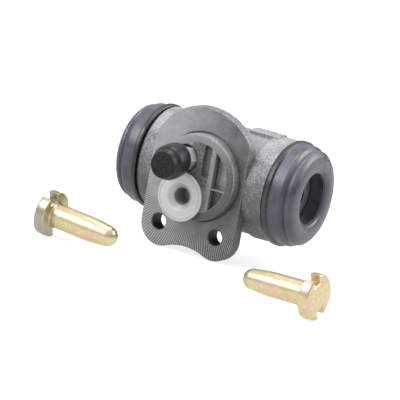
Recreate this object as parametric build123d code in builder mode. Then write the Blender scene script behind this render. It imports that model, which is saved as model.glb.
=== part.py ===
from build123d import *
import os
from math import asin, cos, radians, sin, sqrt

os.makedirs("parts", exist_ok=True)

# Millimetres. The origin is where the pilot's axis meets the mounting face.
# +X runs along the bore, the mounting face looks along -Y, and the ears hang down, towards -Z.

# Bore and barrel
bore_radius = 12.7
bore_y = 20.0
bore_z = -1.2
centre_x = -0.9
barrel_radius = 19.1
collar_radius = 19.8
collar_inner_x = 19.5
collar_outer_x = 27.4
collar_step = 0.7
collar_fall = 0.2
nose_radius = 16.6
nose_end_x = 33.2
groove_depth = 1.2
groove_inner_x = 29.4
groove_outer_x = 31.5
nose_chamfer = 0.6

# Mounting flange
flange_thickness = 6.8
flange_rear_round = 2.8
flange_centre_x = -2.0
flange_half_width = 20.1
flange_shoulder_z = 5.6
flange_top_radius = 25.2
flange_corner_radius = 5.0
ear_bottom_z = -29.7
ear_corner_radius = 8.25
ear_dip = 2.4
cast_margin = 0.4
cut_margin = 1.0
flange_boss_z = 3.5
flange_boss_radius = 20.0
flange_boss_back_radius = 16.5
ear_hole_x = -2.3
ear_hole_z = -21.15
ear_hole_radius = 3.0
ear_hole_spacing = 24.9
ear_hole_chamfer = 0.4

# Pilot with its cast pockets and rib
pilot_radius = 16.4
pilot_height = 4.0
pilot_chamfer = 0.4
relief_width = 0.6
relief_depth = 0.6
rim_width = 3.3
right_pocket_depth = 3.4
left_pocket_depth = 2.6
rib_x = 6.1
rib_width = 2.0
web_width = 0.5
web_z = -2.8
pocket_left_x = 1.9
pocket_bottom_z = 1.0
pocket_round = 0.8

# Port boss
port_x = -4.3
port_z = -8.3
port_boss_radius = 9.5
port_boss_height = 6.2
port_mouth_radius = 5.2
port_hole_radius = 3.3
port_hole_end_y = 3.6
port_feed_radius = 1.4
port_floor_length = 1.0
feed_overlap = 3.0
port_boss_chamfer = 0.35

# Bleeder
bleeder_x = -5.6
bleeder_z = 6.1
bleeder_boss_radius = 6.7
bleeder_recess_radius = 5.3
bleeder_recess_y = -1.3
bleeder_thread_radius = 3.45
bleeder_clearance = 0.06
bleeder_thread_end_y = 3.2
bleeder_seat_gap = 0.1
bleeder_tip_radius = 1.3
bleeder_feed_radius = 1.0
hex_across_flats = 8.0
hex_height = 6.0
neck_radius = 2.6
neck_length = 1.6
thread_relief = 0.4
hex_relief = 0.15
nipple_cone = 1.2
nipple_bead_length = 1.2
nipple_end_chamfer = 0.8
bleed_bore_overrun = 1.5
nipple_radius = 3.25
nipple_bead = 0.35
nipple_end_y = -18.4
bleed_bore_radius = 0.9

# Bleeder cap
cap_rear_y = -10.2
cap_step_y = -14.7
cap_front_y = -20.5
cap_rear_radius = 6.2
cap_front_radius = 5.4
cap_roof = 1.4
cap_round = 0.8
cap_front_round = 0.5
cap_step_slope = 0.3
cap_fit = 0.02

# Cast pad on the barrel, curved with it
pad_inner_x = 9.2
pad_outer_x = 21.4
pad_radius = 20.4
pad_depth = 4.0
pad_front_angle = 12.5
pad_rear_angle = 7.5

# Pistons, measured outwards from the middle of the bore
piston_clearance = 0.04
piston_inner_x = 15.5
piston_shoulder_x = 28.0
piston_face_x = 31.3
piston_land_radius = 9.4
piston_land_length = 1.5
piston_neck_radius = 8.1
piston_edge = 0.4
socket_radius = 4.9
socket_depth = 12.0
left_reach = 1.8

# Cup seals and expanders
cup_gap = 0.05
cup_length = 5.6
cup_base = 2.2
cup_clearance = 0.08
cup_heel_radius = 12.1
cup_lip_thickness = 1.7
cup_lip_round = 0.5
cup_heel_step = 0.3
cup_hollow = 1.0
sheet = 0.6
sheet_offset = 0.4
expander_seat_radius = 7.9
expander_flare = 1.6
expander_nub_radius = 4.9
expander_nub_height = 2.0

# Return spring
spring_wire = 1.2
spring_mean_radius = 6.4
spring_turns = 6.5
spring_gap = 0.12

# Dust boots, measured outwards from the middle of the bore
boot_gap = 0.1
boot_bead_rise = 3.6
boot_bead_width = 2.1
boot_bead_round = 0.4
boot_neck_rise = 2.3
boot_crease_rise = 1.9
boot_crease_x = 32.2
boot_bulge_rise = 2.55
boot_bulge_x = 33.9
boot_shoulder_drop = 1.6
boot_shoulder_x = 35.7
boot_line_depth = 0.3
boot_front_drop = 3.5
boot_front_edge_x = 36.9
boot_front_x = 38.9
boot_mouth_radius = 9.8
boot_mouth_round = 1.0
boot_wall = 1.5
boot_land_gap = 0.4

# Push pins
pin_head_radius = 8.5
pin_head_thickness = 4.2
pin_length = 31.6
pin_shank_radius = 4.65
pin_tip_radius = 3.9
pin_taper_start = 17.0
pin_notch_width = 4.0
pin_notch_floor = 5.2
pin_notch_turn = 27.0
pin_edge = 0.45
floor_z = ear_bottom_z - cast_margin
left_pin_x = -43.7
left_pin_y = -33.3
left_pin_tilt = 4.7
right_pin_x = 79.1
right_pin_y = -39.9
right_pin_tilt = 0.9

bore_origin = (centre_x, bore_y, bore_z)
bore_axis = Axis(bore_origin, (1, 0, 0))


def half_plane(side, reach=0.0):
    """Plane through the bore axis: local x runs outwards on one side from reach, local y is the radius."""
    start = (centre_x + side * reach, bore_y, bore_z)
    return Plane(origin=start, x_dir=(side, 0, 0), z_dir=(0, -side, 0))


def facing_plane(y):
    """Plane parallel to the mounting face at height y, drawn as seen from the front."""
    return Plane(origin=(0, y, 0), x_dir=(1, 0, 0), z_dir=(0, -1, 0))


def y_axis_plane(x, z):
    """Plane through an axis along Y: local x is the distance in front of the face, local y the radius."""
    return Plane(origin=(x, 0, z), x_dir=(0, -1, 0), z_dir=(-1, 0, 0))


# Corners of the flange's outline, from its arcs, its straight sides and its ears.
flange_left = flange_centre_x - flange_half_width
flange_right = flange_centre_x + flange_half_width
flange_top_z = flange_shoulder_z + flange_half_width
diagonal_share = 1 / sqrt(2)
left_diagonal = flange_half_width * diagonal_share
top_centre_z = flange_top_z - flange_top_radius
side_z = top_centre_z + sqrt(flange_top_radius**2 - flange_half_width**2)
top_turn = asin(flange_half_width / flange_top_radius) / 2
corner_x = flange_half_width - ear_corner_radius
corner_z = ear_bottom_z + ear_corner_radius
diagonal = ear_corner_radius * diagonal_share
dip_reach = (corner_x**2 + ear_dip**2) / (2 * ear_dip)
dip_x = corner_x * (1 - ear_corner_radius / dip_reach)
dip_z = corner_z - ear_corner_radius * (1 - ear_dip / dip_reach)

# The nose carries the boot, so the boot's radii follow it.
groove_radius = nose_radius - groove_depth
boot_bead_radius = nose_radius + boot_bead_rise
boot_neck_radius = nose_radius + boot_neck_rise
boot_crease_radius = nose_radius + boot_crease_rise
boot_bulge_radius = nose_radius + boot_bulge_rise
boot_shoulder_radius = boot_bulge_radius - boot_shoulder_drop
boot_front_radius = boot_bulge_radius - boot_front_drop

# Barrel, flange, pilot and bosses are one casting.

with BuildPart() as cylinder_body:
    with BuildSketch(facing_plane(0)) as flange_outline:
        with BuildLine():
            right_arc = ThreePointArc(
                (flange_right, side_z),
                (
                    flange_centre_x + flange_top_radius * sin(top_turn),
                    top_centre_z + flange_top_radius * cos(top_turn),
                ),
                (flange_centre_x, flange_top_z),
            )
            ThreePointArc(
                (flange_centre_x, flange_top_z),
                (flange_centre_x - left_diagonal, flange_shoulder_z + left_diagonal),
                (flange_left, flange_shoulder_z),
            )
            Line((flange_left, flange_shoulder_z), (flange_left, corner_z))
            ThreePointArc(
                (flange_left, corner_z),
                (flange_centre_x - corner_x - diagonal, corner_z - diagonal),
                (flange_centre_x - dip_x, dip_z),
            )
            ThreePointArc(
                (flange_centre_x - dip_x, dip_z),
                (flange_centre_x, ear_bottom_z + ear_dip),
                (flange_centre_x + dip_x, dip_z),
            )
            ThreePointArc(
                (flange_centre_x + dip_x, dip_z),
                (flange_centre_x + corner_x + diagonal, corner_z - diagonal),
                (flange_right, corner_z),
            )
            Line((flange_right, corner_z), right_arc @ 0)
        make_face()
        top_corner = flange_outline.vertices().sort_by_distance((flange_right, side_z, 0))[0]
        fillet(top_corner, flange_corner_radius)
        offset(amount=cast_margin, kind=Kind.ARC)
    extrude(amount=-flange_thickness)
    face_edges = cylinder_body.edges().filter_by_position(Axis.Y, -0.001, 0.001)
    fillet(face_edges, cast_margin)
    rear_edges = cylinder_body.edges().filter_by_position(
        Axis.Y, flange_thickness - 0.001, flange_thickness + 0.001
    )
    fillet(rear_edges, flange_rear_round)

    with BuildSketch(half_plane(1)) as barrel_section:
        right = [
            (collar_inner_x - collar_step, barrel_radius),
            (collar_inner_x, collar_radius),
            (collar_outer_x, collar_radius - collar_fall),
            (collar_outer_x, nose_radius),
            (groove_inner_x, nose_radius),
            (groove_inner_x, groove_radius),
            (groove_outer_x, groove_radius),
            (groove_outer_x, nose_radius),
            (nose_end_x - nose_chamfer, nose_radius),
            (nose_end_x, nose_radius - nose_chamfer),
            (nose_end_x, 0),
        ]
        left = [(-x, r) for x, r in reversed(right)]
        with BuildLine():
            Polyline(*left, *right, close=True)
        make_face()
    revolve(axis=bore_axis)

    with BuildSketch(facing_plane(flange_thickness / 2)) as boss_front:
        with Locations((flange_centre_x, flange_boss_z)):
            Circle(flange_boss_radius)
    with BuildSketch(facing_plane(bore_y)) as boss_back:
        with Locations((flange_centre_x, bore_z)):
            Circle(flange_boss_back_radius)
    loft()

    with BuildSketch(facing_plane(0)) as relief:
        Circle(pilot_radius + relief_width)
        Circle(pilot_radius - cut_margin, mode=Mode.SUBTRACT)
    extrude(amount=-relief_depth, mode=Mode.SUBTRACT)

    with BuildSketch(facing_plane(relief_depth)) as pilot:
        Circle(pilot_radius)
    extrude(amount=pilot_height + relief_depth)
    pilot_edges = (
        cylinder_body.edges()
        .filter_by(GeomType.CIRCLE)
        .filter_by_position(Axis.Y, -pilot_height - 0.01, -pilot_height + 0.01)
    )
    chamfer(pilot_edges, pilot_chamfer)

    pocket_limit = pilot_radius - rim_width
    with BuildSketch(facing_plane(-pilot_height)) as right_pockets:
        Circle(pocket_limit)
        with Locations((rib_x - pilot_radius, 0)):
            Rectangle(2 * pilot_radius + rib_width, 2 * pilot_radius, mode=Mode.SUBTRACT)
        with Locations((pilot_radius, web_z)):
            Rectangle(2 * pilot_radius, web_width, mode=Mode.SUBTRACT)
    extrude(amount=-right_pocket_depth, mode=Mode.SUBTRACT)

    with BuildSketch(facing_plane(-pilot_height)) as left_pocket:
        Circle(pocket_limit)
        with Locations((rib_x - rib_width / 2, 0)):
            Rectangle(
                2 * pilot_radius,
                2 * pilot_radius,
                align=(Align.MIN, Align.CENTER),
                mode=Mode.SUBTRACT,
            )
        with Locations((pocket_left_x, 0)):
            Rectangle(
                2 * pilot_radius,
                2 * pilot_radius,
                align=(Align.MAX, Align.CENTER),
                mode=Mode.SUBTRACT,
            )
        with Locations((0, pocket_bottom_z)):
            Rectangle(
                2 * pilot_radius,
                2 * pilot_radius,
                align=(Align.CENTER, Align.MAX),
                mode=Mode.SUBTRACT,
            )
        with Locations((bleeder_x, bleeder_z)):
            Circle(bleeder_boss_radius, mode=Mode.SUBTRACT)
        fillet(left_pocket.vertices(), pocket_round)
    extrude(amount=-left_pocket_depth, mode=Mode.SUBTRACT)

    with BuildSketch(facing_plane(relief_depth)) as port_boss:
        with Locations((port_x, port_z)):
            Circle(port_boss_radius)
    extrude(amount=port_boss_height + relief_depth)
    port_edge = (
        cylinder_body.edges()
        .filter_by(GeomType.CIRCLE)
        .filter_by_position(Axis.Y, -port_boss_height - 0.01, -port_boss_height + 0.01)
    )
    chamfer(port_edge, port_boss_chamfer)

    with BuildSketch(half_plane(1).rotated((-pad_rear_angle, 0, 0))) as pad_section:
        with Locations((pad_inner_x, pad_radius)):
            Rectangle(pad_outer_x - pad_inner_x, pad_depth, align=(Align.MIN, Align.MAX))
    revolve(axis=bore_axis, revolution_arc=pad_front_angle + pad_rear_angle)

    with Locations(Plane(origin=bore_origin, x_dir=(0, 1, 0), z_dir=(1, 0, 0))):
        Cylinder(bore_radius, 2 * (nose_end_x + cut_margin), mode=Mode.SUBTRACT)
    mouth_edges = (
        cylinder_body.edges()
        .filter_by(GeomType.CIRCLE)
        .filter_by(lambda edge: abs(edge.radius - bore_radius) < 0.01)
        .filter_by(lambda edge: abs(abs(edge.center().X - centre_x) - nose_end_x) < 0.01)
    )
    chamfer(mouth_edges, nose_chamfer)

    with BuildSketch(facing_plane(0)) as ear_holes:
        with Locations((ear_hole_x, ear_hole_z)):
            with GridLocations(ear_hole_spacing, 1, 2, 1):
                Circle(ear_hole_radius)
    extrude(amount=-flange_thickness - cut_margin, mode=Mode.SUBTRACT)
    hole_edges = (
        cylinder_body.edges()
        .filter_by(GeomType.CIRCLE)
        .filter_by(lambda edge: abs(edge.radius - ear_hole_radius) < 0.01)
        .filter_by_position(Axis.Y, -0.01, 0.01)
    )
    chamfer(hole_edges, ear_hole_chamfer)

    with BuildSketch(y_axis_plane(port_x, port_z)) as port_section:
        mouth_depth = port_mouth_radius - port_hole_radius
        with BuildLine():
            Polyline(
                (port_boss_height + cut_margin, 0),
                (port_boss_height + cut_margin, port_mouth_radius),
                (port_boss_height, port_mouth_radius),
                (port_boss_height - mouth_depth, port_hole_radius),
                (-port_hole_end_y, port_hole_radius),
                (-port_hole_end_y - port_floor_length, port_feed_radius),
                (-bore_y + bore_radius - feed_overlap, port_feed_radius),
                (-bore_y + bore_radius - feed_overlap, 0),
                close=True,
            )
        make_face()
    revolve(axis=Axis((port_x, 0, port_z), (0, 1, 0)), mode=Mode.SUBTRACT)

    with BuildSketch(y_axis_plane(bleeder_x, bleeder_z)) as bleeder_section:
        hole_radius = bleeder_thread_radius + bleeder_clearance
        seat_y = bleeder_thread_end_y + bleeder_seat_gap
        with BuildLine():
            Polyline(
                (pilot_height + cut_margin, 0),
                (pilot_height + cut_margin, bleeder_recess_radius),
                (-bleeder_recess_y, bleeder_recess_radius),
                (-bleeder_recess_y, hole_radius),
                (-seat_y, hole_radius),
                (-seat_y - (hole_radius - bleeder_feed_radius), bleeder_feed_radius),
                (-bore_y + bore_radius - feed_overlap, bleeder_feed_radius),
                (-bore_y + bore_radius - feed_overlap, 0),
                close=True,
            )
        make_face()
    revolve(axis=Axis((bleeder_x, 0, bleeder_z), (0, 1, 0)), mode=Mode.SUBTRACT)


def make_piston(side, reach):
    """Turned piston: a sliding skirt, a boot groove, an outer land and a round-bottomed socket."""
    radius = bore_radius - piston_clearance
    land_inner_x = piston_face_x - piston_land_length
    with BuildPart() as piston:
        with BuildSketch(half_plane(side, reach)) as section:
            socket_floor_x = piston_face_x - socket_depth
            with BuildLine():
                Polyline(
                    (socket_floor_x, 0),
                    (piston_inner_x, 0),
                    (piston_inner_x, radius - piston_edge),
                    (piston_inner_x + piston_edge, radius),
                    (piston_shoulder_x - piston_edge, radius),
                    (piston_shoulder_x, radius - piston_edge),
                    (piston_shoulder_x, piston_neck_radius),
                    (land_inner_x, piston_neck_radius),
                    (land_inner_x, piston_land_radius),
                    (piston_face_x - piston_edge, piston_land_radius),
                    (piston_face_x, piston_land_radius - piston_edge),
                    (piston_face_x, socket_radius + piston_edge),
                    (piston_face_x - piston_edge, socket_radius),
                    (socket_floor_x + socket_radius, socket_radius),
                )
                ThreePointArc(
                    (socket_floor_x + socket_radius, socket_radius),
                    (
                        socket_floor_x + socket_radius * (1 - sin(radians(45))),
                        socket_radius * sin(radians(45)),
                    ),
                    (socket_floor_x, 0),
                )
            make_face()
        revolve(axis=bore_axis)
    return piston


def make_cup(side, reach):
    """Rubber cup seal: a thick base against the piston and a lip that opens towards the fluid."""
    back_x = piston_inner_x - cup_gap
    lip_x = back_x - cup_length
    radius = bore_radius - cup_clearance
    inner = radius - cup_lip_thickness
    with BuildPart() as cup:
        with BuildSketch(half_plane(side, reach)) as section:
            with BuildLine():
                Polyline(
                    (back_x, 0),
                    (back_x, cup_heel_radius),
                    (back_x - cup_base, radius - cup_heel_step),
                    (lip_x + cup_lip_round, radius),
                    (lip_x, radius - cup_lip_round),
                    (lip_x, radius - 2 * cup_lip_round),
                    (back_x - cup_base - cup_hollow, inner),
                    (back_x - cup_base, inner - cup_hollow),
                    (back_x - cup_base, 0),
                    close=True,
                )
            make_face()
        revolve(axis=bore_axis)
    return cup


def make_expander(side, reach):
    """Pressed sheet expander: a seat for the spring, a centring nub and a flared skirt."""
    seat_x = piston_inner_x - cup_gap - cup_base - cup_gap
    flare_radius = expander_seat_radius + expander_flare
    nub_x = seat_x - sheet - expander_nub_height
    with BuildPart() as expander:
        with BuildSketch(half_plane(side, reach)) as section:
            with BuildLine():
                Polyline(
                    (nub_x, 0),
                    (nub_x, expander_nub_radius - sheet),
                    (seat_x - sheet, expander_nub_radius),
                    (seat_x - sheet, expander_seat_radius),
                    (seat_x - sheet - expander_flare, flare_radius),
                    (seat_x - expander_flare, flare_radius + sheet_offset),
                    (seat_x, expander_seat_radius + sheet_offset),
                    (seat_x, expander_nub_radius - sheet),
                    (nub_x + sheet, expander_nub_radius - 2 * sheet),
                    (nub_x + sheet, 0),
                    close=True,
                )
            make_face()
        revolve(axis=bore_axis)
    return expander


def make_boot(side, reach):
    """Moulded dust boot: bead, neck, bulged front and a funnel that grips the piston's groove."""
    bead_start = collar_outer_x + boot_gap
    bead_end = bead_start + boot_bead_width
    nose_side = nose_radius + boot_gap
    crease_x = boot_crease_x + reach
    bulge_x = boot_bulge_x + reach
    shoulder_x = boot_shoulder_x + reach
    front_edge_x = boot_front_edge_x + reach
    front_x = boot_front_x + reach
    face_x = piston_face_x + reach
    land_clear = piston_land_radius + boot_land_gap
    lip_inner_x = piston_shoulder_x + reach + boot_gap
    lip_outer_x = face_x - piston_land_length - boot_gap
    lip_radius = piston_neck_radius + boot_gap
    with BuildPart() as boot:
        with BuildSketch(half_plane(side)) as section:
            with BuildLine():
                Polyline(
                    (bead_start, nose_side),
                    (bead_start, boot_bead_radius - boot_bead_round),
                    (bead_start + boot_bead_round, boot_bead_radius),
                    (bead_end - 2 * boot_bead_round, boot_bead_radius),
                    (bead_end, boot_neck_radius + boot_bead_round),
                    (bead_end + boot_bead_round, boot_neck_radius),
                    (crease_x - 2 * boot_bead_round, boot_neck_radius),
                    (crease_x, boot_crease_radius),
                    (bulge_x - boot_wall / 2, boot_bulge_radius - boot_gap),
                )
                ThreePointArc(
                    (bulge_x - boot_wall / 2, boot_bulge_radius - boot_gap),
                    (bulge_x, boot_bulge_radius),
                    (bulge_x + boot_wall / 2, boot_bulge_radius - boot_gap),
                )
                Polyline(
                    (bulge_x + boot_wall / 2, boot_bulge_radius - boot_gap),
                    (shoulder_x, boot_shoulder_radius),
                    (shoulder_x, boot_shoulder_radius - boot_line_depth),
                    (shoulder_x + boot_line_depth, boot_shoulder_radius - boot_line_depth),
                )
                ThreePointArc(
                    (shoulder_x + boot_line_depth, boot_shoulder_radius - boot_line_depth),
                    (front_edge_x, boot_front_radius),
                    (front_x, boot_mouth_radius + boot_mouth_round),
                )
                ThreePointArc(
                    (front_x, boot_mouth_radius + boot_mouth_round),
                    (
                        front_x - (1 - diagonal_share) * boot_mouth_round,
                        boot_mouth_radius + (1 - diagonal_share) * boot_mouth_round,
                    ),
                    (front_x - boot_mouth_round, boot_mouth_radius),
                )
                Polyline(
                    (front_x - boot_mouth_round, boot_mouth_radius),
                    (face_x + boot_wall, land_clear),
                    (lip_outer_x, land_clear),
                    (lip_outer_x, lip_radius),
                    (lip_inner_x, lip_radius),
                    (lip_inner_x, land_clear + boot_land_gap),
                    (lip_outer_x, land_clear + boot_wall),
                    (face_x + boot_wall, land_clear + boot_wall),
                    (front_x - 1.5 * boot_wall, boot_mouth_radius + 1.8 * boot_wall),
                    (shoulder_x - boot_wall / 2, boot_shoulder_radius - boot_wall),
                    (bulge_x, boot_bulge_radius - boot_wall),
                    (nose_end_x + boot_land_gap, boot_bulge_radius - boot_wall),
                    (nose_end_x + boot_gap, nose_side),
                    (groove_outer_x - boot_gap, nose_side),
                    (groove_outer_x - boot_gap, groove_radius + boot_gap),
                    (groove_inner_x + boot_gap, groove_radius + boot_gap),
                    (groove_inner_x + boot_gap, nose_side),
                    (bead_start, nose_side),
                )
            make_face()
        revolve(axis=bore_axis)
    return boot


def make_pin(head_x, head_y, direction, tilt):
    """Push pin lying on its side: a disc head with two opposite notches and a round-ended shank."""
    along = Vector(direction * cos(radians(tilt)), 0, -sin(radians(tilt)))
    head_z = floor_z + pin_head_radius * cos(radians(tilt))
    origin = Vector(head_x, head_y, head_z)
    upright = Vector(direction * sin(radians(tilt)), 0, cos(radians(tilt)))
    section_plane = Plane(origin=origin, x_dir=along, z_dir=along.cross(upright))
    with BuildPart() as pin:
        with BuildSketch(section_plane) as section:
            tip_x = pin_length - pin_tip_radius
            with BuildLine():
                Polyline(
                    (0, 0),
                    (0, pin_head_radius - pin_edge),
                    (pin_edge, pin_head_radius),
                    (pin_head_thickness - pin_edge, pin_head_radius),
                    (pin_head_thickness, pin_head_radius - pin_edge),
                    (pin_head_thickness, pin_shank_radius),
                    (pin_taper_start, pin_shank_radius),
                )
                ThreePointArc(
                    (pin_taper_start, pin_shank_radius),
                    (
                        (pin_taper_start + tip_x) / 2,
                        pin_shank_radius - 0.25 * (pin_shank_radius - pin_tip_radius),
                    ),
                    (tip_x, pin_tip_radius),
                )
                ThreePointArc(
                    (tip_x, pin_tip_radius),
                    (
                        tip_x + pin_tip_radius * sin(radians(45)),
                        pin_tip_radius * sin(radians(45)),
                    ),
                    (pin_length, 0),
                )
                Line((pin_length, 0), (0, 0))
            make_face()
        revolve(axis=Axis(origin, along))
        turned = Plane(origin=origin, x_dir=upright, z_dir=along).rotated((0, 0, direction * pin_notch_turn))
        with BuildSketch(turned) as notches:
            with Locations((pin_notch_floor, 0)):
                Rectangle(pin_head_radius, pin_notch_width, align=(Align.MIN, Align.CENTER))
            with Locations((-pin_notch_floor, 0)):
                Rectangle(pin_head_radius, pin_notch_width, align=(Align.MAX, Align.CENTER))
        extrude(amount=pin_head_thickness, mode=Mode.SUBTRACT)
    return pin


# Return spring: one open coil between the expander seats.
spring_seat_x = piston_inner_x - 2 * cup_gap - cup_base - sheet - spring_gap
spring_length = 2 * spring_seat_x + left_reach - spring_wire
spring_pitch = spring_length / spring_turns
spring_start = (centre_x - spring_seat_x - left_reach + spring_wire / 2, bore_y, bore_z)
with BuildPart() as return_spring:
    with BuildLine() as coil:
        Helix(
            pitch=spring_pitch,
            height=spring_length,
            radius=spring_mean_radius,
            center=spring_start,
            direction=(1, 0, 0),
        )
    with BuildSketch(coil.line ^ 0) as wire:
        Circle(spring_wire / 2)
    sweep(path=coil.line, is_frenet=True)

# Bleed screw: cone tip, threaded shank, hexagon, neck and nipple, drilled along its axis.
hex_front_y = bleeder_recess_y - hex_height
with BuildPart() as bleeder_screw:
    with BuildSketch(y_axis_plane(bleeder_x, bleeder_z)) as screw_section:
        tip_length = bleeder_thread_radius - bleeder_tip_radius
        neck_end = -hex_front_y + neck_length
        bead_end = neck_end + nipple_cone + nipple_bead_length
        with BuildLine():
            Polyline(
                (-bleeder_thread_end_y - tip_length, 0),
                (-bleeder_thread_end_y - tip_length, bleeder_tip_radius),
                (-bleeder_thread_end_y, bleeder_thread_radius),
                (-bleeder_recess_y - thread_relief, bleeder_thread_radius),
                (-bleeder_recess_y - thread_relief, neck_radius),
                (neck_end, neck_radius),
                (neck_end + nipple_cone, nipple_radius),
                (bead_end, nipple_radius),
                (bead_end + nipple_end_chamfer, nipple_radius - nipple_bead),
                (-nipple_end_y - nipple_end_chamfer, nipple_radius - nipple_bead),
                (-nipple_end_y, nipple_radius - nipple_bead - nipple_end_chamfer),
                (-nipple_end_y, 0),
                close=True,
            )
        make_face()
    revolve(axis=Axis((bleeder_x, 0, bleeder_z), (0, 1, 0)))
    with BuildSketch(facing_plane(bleeder_recess_y - hex_relief)) as hexagon:
        with Locations((bleeder_x, bleeder_z)):
            RegularPolygon(hex_across_flats / 2, 6, major_radius=False)
    extrude(amount=hex_height - hex_relief)
    with BuildSketch(facing_plane(nipple_end_y)) as bleed_bore:
        with Locations((bleeder_x, bleeder_z)):
            Circle(bleed_bore_radius)
    extrude(amount=nipple_end_y - bleeder_thread_end_y + bleed_bore_overrun, mode=Mode.SUBTRACT)

# Rubber cap pushed over the nipple.
with BuildPart() as bleeder_cap:
    with BuildSketch(y_axis_plane(bleeder_x, bleeder_z)) as cap_section:
        inner = nipple_radius + cap_fit
        rear = -cap_rear_y
        step = -cap_step_y
        front = -cap_front_y
        with BuildLine():
            Polyline(
                (rear, inner),
                (rear, cap_rear_radius - cap_round),
                (rear + cap_round, cap_rear_radius),
                (step - cap_round, cap_rear_radius),
                (step, cap_rear_radius - cap_round),
                (step + cap_step_slope, cap_front_radius),
                (front - cap_front_round, cap_front_radius),
                (front, cap_front_radius - cap_front_round),
                (front, 0),
                (front - cap_roof, 0),
                (front - cap_roof, inner),
                close=True,
            )
        make_face()
    revolve(axis=Axis((bleeder_x, 0, bleeder_z), (0, 1, 0)))

pieces = {
    "cylinder_body": cylinder_body,
    "return_spring": return_spring,
    "bleeder_screw": bleeder_screw,
    "bleeder_cap": bleeder_cap,
    "push_pin_left": make_pin(left_pin_x, left_pin_y, 1, left_pin_tilt),
    "push_pin_right": make_pin(right_pin_x, right_pin_y, -1, right_pin_tilt),
}
for name, side_sign, side_reach in (("left", -1, left_reach), ("right", 1, 0.0)):
    pieces["piston_" + name] = make_piston(side_sign, side_reach)
    pieces["cup_" + name] = make_cup(side_sign, side_reach)
    pieces["expander_" + name] = make_expander(side_sign, side_reach)
    pieces["boot_" + name] = make_boot(side_sign, side_reach)

for name, piece in pieces.items():
    piece.part.label = name
    export_step(piece.part, "parts/" + name + ".step")
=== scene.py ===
import math
import bmesh
import bpy
import numpy as np
from mathutils import Matrix, Vector


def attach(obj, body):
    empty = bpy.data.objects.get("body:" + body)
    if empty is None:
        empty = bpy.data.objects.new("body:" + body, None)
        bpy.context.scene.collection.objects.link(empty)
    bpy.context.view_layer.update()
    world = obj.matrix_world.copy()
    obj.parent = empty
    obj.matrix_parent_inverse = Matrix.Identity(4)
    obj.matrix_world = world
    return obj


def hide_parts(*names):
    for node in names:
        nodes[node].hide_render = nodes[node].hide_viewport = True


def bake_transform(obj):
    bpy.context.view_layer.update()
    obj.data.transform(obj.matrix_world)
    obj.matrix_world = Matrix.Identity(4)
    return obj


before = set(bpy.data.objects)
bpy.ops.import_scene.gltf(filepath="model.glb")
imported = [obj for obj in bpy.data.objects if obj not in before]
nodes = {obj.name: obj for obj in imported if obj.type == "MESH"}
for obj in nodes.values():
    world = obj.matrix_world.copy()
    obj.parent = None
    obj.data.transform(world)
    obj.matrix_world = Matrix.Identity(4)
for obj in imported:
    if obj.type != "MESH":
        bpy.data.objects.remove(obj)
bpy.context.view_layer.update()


# Cast housing
# Grey iron casting: barrel, mounting flange, pilot and port boss in one piece. The flange is
# faced by a plunging tool that leaves radial chatter marks, the port boss is machined bright.
# Places and sizes are in millimetres here and in each section but the last.

BORE = (-0.9, 20.0, -1.2)
PORT = (-4.3, -8.3)
PORT_BOSS_FRONT = -5.8
PORT_BOSS_RADIUS = 9.6
PORT_RING = (8.3, 8.65)
PORT_CONE_RADIUS = 5.4
PORT_MOUTH = (5.4, 3.2)
PORT_CONE_END = 2.0
PORT_HOLE_RADIUS = 3.6
PORT_HOLE_DEPTH = (-5.2, 9.0)
PORT_HOLE_SHADE = (-4.8, 0.5)
EAR_MIDDLE = -2.3
EAR_HOLE = (12.45, -21.15)
EAR_HOLE_RADIUS = 3.25
EAR_HOLE_START = 0.5
FACE_DEPTH = 0.05
PILOT_FRONT = -3.9
RIM_INSIDE = 13.3
RIM_SKIN = (15.4, 14.6)
RIM_LIT = (-16.0, 12.0)
RECESS_FRONT = -0.6
RIB_HEIGHT = (-1.4, -2.8)
POCKET_HEIGHT = (-2.9, -1.6)
# The floor by the hexagon is darker.
HEXAGON_FLOOR_LEFT, HEXAGON_FLOOR_RIGHT, HEXAGON_FLOOR_FOOT = (-5.0, -2.0), (5.3, 5.0), (-5.0, -1.5)
FLANGE_FRONT, FLANGE_BACK = (0.05, 0.3), (5.0, 4.0)
LEFT_COLLAR_END = (26.75, 27.0)
LOW_PAINTED_SHADE_HEIGHT = (16.0, -17.0)
FACED_PAINTED_LIGHT = (18.0, -20.0)
CHATTER_MARKS = 210.0
CHATTER_RADIUS = (17.5, 25.0)
CHATTER_HEIGHT = (2.0, -14.0)
SAND_GRAIN = 1.5
PIT_GRAIN = 3.4
PATCH_GRAIN = 0.16
EDGE_ROUNDING = 0.00045
CAST_DARK = (0.14, 0.14, 0.145, 1.0)
CAST_LIGHT = (0.46, 0.46, 0.475, 1.0)
FACED_DARK = (0.085, 0.085, 0.088, 1.0)
FACED_LIGHT = (0.44, 0.44, 0.455, 1.0)
RIM_DARK = (0.10, 0.10, 0.104, 1.0)
RIM_LIGHT = (0.34, 0.34, 0.35, 1.0)
RECESS_DARK = (0.06, 0.06, 0.062, 1.0)
RECESS_LIGHT = (0.42, 0.42, 0.43, 1.0)
HEXAGON_FLOOR_DARK = (0.055, 0.055, 0.057, 1.0)
HEXAGON_FLOOR_LIGHT = (0.32, 0.32, 0.325, 1.0)
BRIGHT_IRON = (0.64, 0.645, 0.67, 1.0)
PORT_CONE_GREY = (0.55, 0.55, 0.57, 1.0)
PORT_HOLE_NEAR = (0.62, 0.62, 0.64, 1.0)
PORT_HOLE_FAR = (0.40, 0.40, 0.41, 1.0)
PAINTED_SHADE_BLACK = (0.02, 0.02, 0.022, 1.0)
MIX_FACTOR, MIX_A, MIX_B, MIX_RESULT = 0, 6, 7, 2


def new_material(name):
    """An empty material with its output, ready for nodes."""
    material = bpy.data.materials.new(name)
    material.use_nodes = True
    material.node_tree.nodes.clear()
    material.node_tree.nodes.new("ShaderNodeOutputMaterial")
    return material


def wire(tree, socket, value):
    """A socket linked to another one or set to a value."""
    if isinstance(value, bpy.types.NodeSocket):
        tree.links.new(value, socket)
    else:
        socket.default_value = value


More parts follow.
